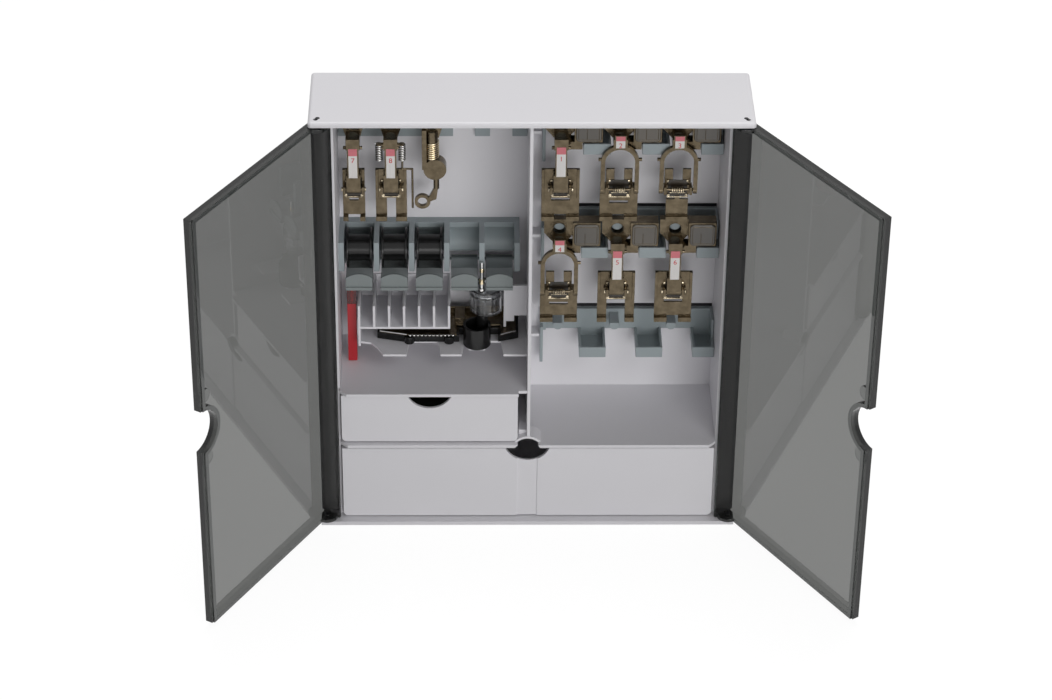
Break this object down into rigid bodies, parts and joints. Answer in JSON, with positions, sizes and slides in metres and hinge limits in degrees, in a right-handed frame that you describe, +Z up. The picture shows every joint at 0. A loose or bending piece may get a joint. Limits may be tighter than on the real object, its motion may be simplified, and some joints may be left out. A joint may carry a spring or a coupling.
{
  "type": "sewing accessory cabinet",
  "caption": "White two-door cabinet with smoked doors, two drawers and pegs, cups and racks that store presser feet, bobbins, needles and small sewing tools.",
  "frame": {"origin": "middle of the base plate's front edge, on the face the cabinet stands on", "axes": "+X to the right seen from the front, +Y from the front into the cabinet, +Z up"},
  "size_m": [0.3773, 0.1692, 0.278],
  "materials": {
    "white_plastic": "fine satin",
    "grey_plastic": "satin",
    "key_plastic": "satin",
    "dark_plastic": "satin",
    "black_plastic": "satin",
    "dark_pad": "grainy",
    "smoked_plastic": "smoked, glossy",
    "clear_plastic": "clear, glossy",
    "red_plastic": "satin",
    "red_clear_plastic": "clear red",
    "foot_metal": "bronze-tinted nickel",
    "chrome": "polished"
  },
  "bodies": {
    "cabinet": {"roof": "white_plastic", "base_plate": "white_plastic", "back_panel": "white_plastic", "left_side_wall": "white_plastic", "right_side_wall": "white_plastic", "divider": "white_plastic", "left_shelf": "white_plastic", "middle_deck": "white_plastic", "hinge_pins": "dark_plastic", "foot_holder_left": "grey_plastic", "foot_holder_1": "grey_plastic", "foot_holder_2": "grey_plastic", "foot_holder_3": "grey_plastic", "bobbin_rack": "grey_plastic", "needle_rack": "white_plastic", "tool_tray": "white_plastic", "long_foot_body": "black_plastic"},
    "left_door": {"left_door": "smoked_plastic"},
    "right_door": {"right_door": "smoked_plastic"},
    "large_drawer": {"large_drawer": "white_plastic"},
    "small_drawer": {"small_drawer": "white_plastic", "round_pad": "dark_pad"},
    "left_extension_foot": {"left_extension_foot": "white_plastic"},
    "right_extension_foot": {"right_extension_foot": "white_plastic"},
    "bobbin_key_1": {"bobbin_key_1": "key_plastic"},
    "bobbin_key_2": {"bobbin_key_2": "key_plastic"},
    "bobbin_key_3": {"bobbin_key_3": "key_plastic"},
    "bobbin_key_4": {"bobbin_key_4": "key_plastic"},
    "bobbin_key_5": {"bobbin_key_5": "key_plastic"},
    "bobbin_1": {"bobbin_1": "black_plastic"},
    "bobbin_2": {"bobbin_2": "black_plastic"},
    "bobbin_3": {"bobbin_3": "black_plastic"},
    "foot_1_1_shank": {"foot_1_1_shank": "foot_metal"},
    "foot_1_1_sole": {"foot_1_1_sole": "foot_metal"},
    "foot_1_2_shank": {"foot_1_2_shank": "foot_metal"},
    "foot_1_2_sole": {"foot_1_2_sole": "foot_metal"},
    "foot_1_3_shank": {"foot_1_3_shank": "foot_metal"},
    "foot_1_3_sole": {"foot_1_3_sole": "foot_metal"},
    "foot_2_1_shank": {"foot_2_1_shank": "foot_metal"},
    "foot_2_1_sole": {"foot_2_1_sole": "foot_metal"},
    "foot_2_2_shank": {"foot_2_2_shank": "foot_metal"},
    "foot_2_2_sole": {"foot_2_2_sole": "foot_metal"},
    "foot_2_3_shank": {"foot_2_3_shank": "foot_metal"},
    "foot_2_3_sole": {"foot_2_3_sole": "foot_metal"},
    "left_foot_1_shank": {"left_foot_1_shank": "foot_metal"},
    "left_foot_1_sole": {"left_foot_1_sole": "foot_metal"},
    "left_foot_2_shank": {"left_foot_2_shank": "foot_metal"},
    "left_foot_2_sole": {"left_foot_2_sole": "foot_metal"},
    "left_foot_3_shank": {"left_foot_3_shank": "foot_metal"},
    "left_foot_3_plunger": {"left_foot_3_plunger": "foot_metal"},
    "long_foot_slide": {"long_foot_slide": "foot_metal"},
    "tool": {"tool_cup": "black_plastic", "tool_barrel": "clear_plastic", "tool_nozzle": "chrome"},
    "seam_ripper": {"ripper_handle": "red_plastic"},
    "ripper_cap": {"ripper_cap": "red_clear_plastic"}
  },
  "joints": [
    {"name": "left_door_hinge", "type": "hinge", "parent": "cabinet", "child": "left_door", "pos_m": [-0.1206, 0.0046, 0], "axis": [0, 0, -1], "range_deg": [-121.15, 2.85]},
    {"name": "right_door_hinge", "type": "hinge", "parent": "cabinet", "child": "right_door", "pos_m": [0.1206, 0.0046, 0], "axis": [0, 0, 1], "range_deg": [-123.07, 0.93]},
    {"name": "large_drawer_slide", "type": "slide", "parent": "cabinet", "child": "large_drawer", "axis": [0, -1, 0], "range_m": [0, 0.055]},
    {"name": "small_drawer_slide", "type": "slide", "parent": "cabinet", "child": "small_drawer", "axis": [0, -1, 0], "range_m": [0, 0.055]},
    {"name": "left_extension_foot_slide", "type": "slide", "parent": "cabinet", "child": "left_extension_foot", "axis": [0, 1, 0], "range_m": [0, 0.04]},
    {"name": "right_extension_foot_slide", "type": "slide", "parent": "cabinet", "child": "right_extension_foot", "axis": [0, 1, 0], "range_m": [0, 0.04]},
    {"name": "bobbin_key_1_press", "type": "hinge", "parent": "cabinet", "child": "bobbin_key_1", "pos_m": [-0.0994, 0.061, 0.1514], "axis": [1, 0, 0], "range_deg": [0, 8], "stiffness_Nm_per_rad": 0.02, "springref_deg": -8.59},
    {"name": "bobbin_key_2_press", "type": "hinge", "parent": "cabinet", "child": "bobbin_key_2", "pos_m": [-0.0789, 0.061, 0.1514], "axis": [1, 0, 0], "range_deg": [0, 8], "stiffness_Nm_per_rad": 0.02, "springref_deg": -8.59},
    {"name": "bobbin_key_3_press", "type": "hinge", "parent": "cabinet", "child": "bobbin_key_3", "pos_m": [-0.0584, 0.061, 0.1514], "axis": [1, 0, 0], "range_deg": [0, 8], "stiffness_Nm_per_rad": 0.02, "springref_deg": -8.59},
    {"name": "bobbin_key_4_press", "type": "hinge", "parent": "cabinet", "child": "bobbin_key_4", "pos_m": [-0.0379, 0.061, 0.1514], "axis": [1, 0, 0], "range_deg": [0, 8], "stiffness_Nm_per_rad": 0.02, "springref_deg": -8.59},
    {"name": "bobbin_key_5_press", "type": "hinge", "parent": "cabinet", "child": "bobbin_key_5", "pos_m": [-0.0174, 0.061, 0.1514], "axis": [1, 0, 0], "range_deg": [0, 8], "stiffness_Nm_per_rad": 0.02, "springref_deg": -8.59},
    {"name": "bobbin_1_lift", "type": "slide", "parent": "cabinet", "child": "bobbin_1", "axis": [0, -0.9, 0.436], "range_m": [0, 0.045]},
    {"name": "bobbin_2_lift", "type": "slide", "parent": "cabinet", "child": "bobbin_2", "axis": [0, -0.9, 0.436], "range_m": [0, 0.045]},
    {"name": "bobbin_3_lift", "type": "slide", "parent": "cabinet", "child": "bobbin_3", "axis": [0, -0.9, 0.436], "range_m": [0, 0.045]},
    {"name": "foot_1_1_slide", "type": "slide", "parent": "cabinet", "child": "foot_1_1_shank", "axis": [0, -1, 0], "range_m": [0, 0.02]},
    {"name": "foot_1_1_tilt", "type": "hinge", "parent": "foot_1_1_shank", "child": "foot_1_1_sole", "pos_m": [0.0177, 0.0408, 0.211], "axis": [1, 0, 0], "range_deg": [-8, 8]},
    {"name": "foot_1_2_slide", "type": "slide", "parent": "cabinet", "child": "foot_1_2_shank", "axis": [0, -1, 0], "range_m": [0, 0.02]},
    {"name": "foot_1_2_tilt", "type": "hinge", "parent": "foot_1_2_shank", "child": "foot_1_2_sole", "pos_m": [0.05153, 0.0408, 0.211], "axis": [1, 0, 0], "range_deg": [-8, 8]},
    {"name": "foot_1_3_slide", "type": "slide", "parent": "cabinet", "child": "foot_1_3_shank", "axis": [0, -1, 0], "range_m": [0, 0.02]},
    {"name": "foot_1_3_tilt", "type": "hinge", "parent": "foot_1_3_shank", "child": "foot_1_3_sole", "pos_m": [0.08536, 0.0408, 0.211], "axis": [1, 0, 0], "range_deg": [-8, 8]},
    {"name": "foot_2_1_slide", "type": "slide", "parent": "cabinet", "child": "foot_2_1_shank", "axis": [0, -1, 0], "range_m": [0, 0.02]},
    {"name": "foot_2_1_tilt", "type": "hinge", "parent": "foot_2_1_shank", "child": "foot_2_1_sole", "pos_m": [0.0177, 0.0408, 0.141], "axis": [1, 0, 0], "range_deg": [-8, 8]},
    {"name": "foot_2_2_slide", "type": "slide", "parent": "cabinet", "child": "foot_2_2_shank", "axis": [0, -1, 0], "range_m": [0, 0.02]},
    {"name": "foot_2_2_tilt", "type": "hinge", "parent": "foot_2_2_shank", "child": "foot_2_2_sole", "pos_m": [0.05153, 0.0408, 0.141], "axis": [1, 0, 0], "range_deg": [-8, 8]},
    {"name": "foot_2_3_slide", "type": "slide", "parent": "cabinet", "child": "foot_2_3_shank", "axis": [0, -1, 0], "range_m": [0, 0.02]},
    {"name": "foot_2_3_tilt", "type": "hinge", "parent": "foot_2_3_shank", "child": "foot_2_3_sole", "pos_m": [0.08536, 0.0408, 0.141], "axis": [1, 0, 0], "range_deg": [-8, 8]},
    {"name": "left_foot_1_slide", "type": "slide", "parent": "cabinet", "child": "left_foot_1_shank", "axis": [0, -1, 0], "range_m": [0, 0.02]},
    {"name": "left_foot_1_tilt", "type": "hinge", "parent": "left_foot_1_shank", "child": "left_foot_1_sole", "pos_m": [-0.1017, 0.0408, 0.211], "axis": [1, 0, 0], "range_deg": [-8, 8]},
    {"name": "left_foot_2_slide", "type": "slide", "parent": "cabinet", "child": "left_foot_2_shank", "axis": [0, -1, 0], "range_m": [0, 0.02]},
    {"name": "left_foot_2_tilt", "type": "hinge", "parent": "left_foot_2_shank", "child": "left_foot_2_sole", "pos_m": [-0.0801, 0.0408, 0.211], "axis": [1, 0, 0], "range_deg": [-8, 8]},
    {"name": "left_foot_3_slide", "type": "slide", "parent": "cabinet", "child": "left_foot_3_shank", "axis": [0, -1, 0], "range_m": [0, 0.02]},
    {"name": "left_foot_3_hop", "type": "slide", "parent": "left_foot_3_shank", "child": "left_foot_3_plunger", "axis": [0, 0, 1], "range_m": [0, 0.004]},
    {"name": "long_foot_travel", "type": "slide", "parent": "cabinet", "child": "long_foot_slide", "axis": [1, 0, 0], "range_m": [-0.004, 0.002]},
    {"name": "tool_slide", "type": "slide", "parent": "cabinet", "child": "tool", "axis": [0, -1, 0], "range_m": [0, 0.028]},
    {"name": "seam_ripper_slide", "type": "slide", "parent": "cabinet", "child": "seam_ripper", "axis": [0, -1, 0], "range_m": [0, 0.025]},
    {"name": "ripper_cap_slide", "type": "slide", "parent": "seam_ripper", "child": "ripper_cap", "axis": [0, 0, 1], "range_m": [0, 0.005]}
  ]
}
